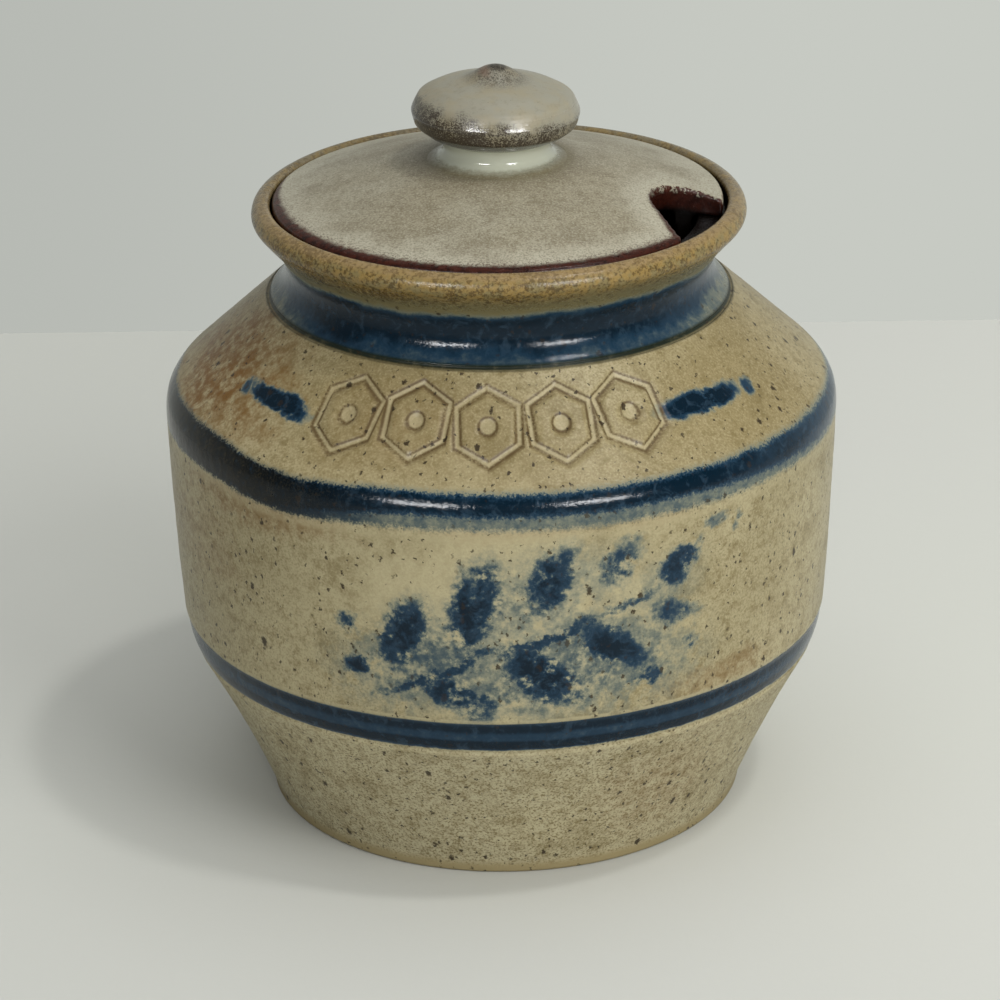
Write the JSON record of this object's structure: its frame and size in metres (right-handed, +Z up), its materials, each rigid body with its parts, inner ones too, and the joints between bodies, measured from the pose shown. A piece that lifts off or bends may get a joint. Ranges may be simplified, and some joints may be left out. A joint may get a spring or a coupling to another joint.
{
  "type": "honey pot",
  "caption": "Squat thrown stoneware jar with sloping shoulder, waisted neck and flared rim; domed lift-off lid with flattened ball knob and a spoon notch in its edge.",
  "frame": {"origin": "centre of the foot, on the surface that the pot stands on", "axes": "+Z up the pot's axis; -Y is the decorated front; the lid's spoon notch is on the +X side, turned 22.4 degrees towards -Y"},
  "size_m": [0.11, 0.11, 0.1245],
  "materials": {
    "pot_glaze": "semi-gloss speckled tan stoneware glaze with cobalt bands",
    "lid_glaze": "semi-matt warm grey glaze, breaking to bare iron-brown at the edges",
    "knob_glaze": "semi-matt warm grey glaze with a brown speckled belt"
  },
  "bodies": {
    "pot": {"pot": "pot_glaze"},
    "lid": {"lid": "lid_glaze", "lid_knob": "knob_glaze"}
  },
  "joints": [
    {"name": "lid_lift", "type": "slide", "parent": "pot", "child": "lid", "axis": [0, 0, 1], "range_m": [0, 0.06]}
  ]
}
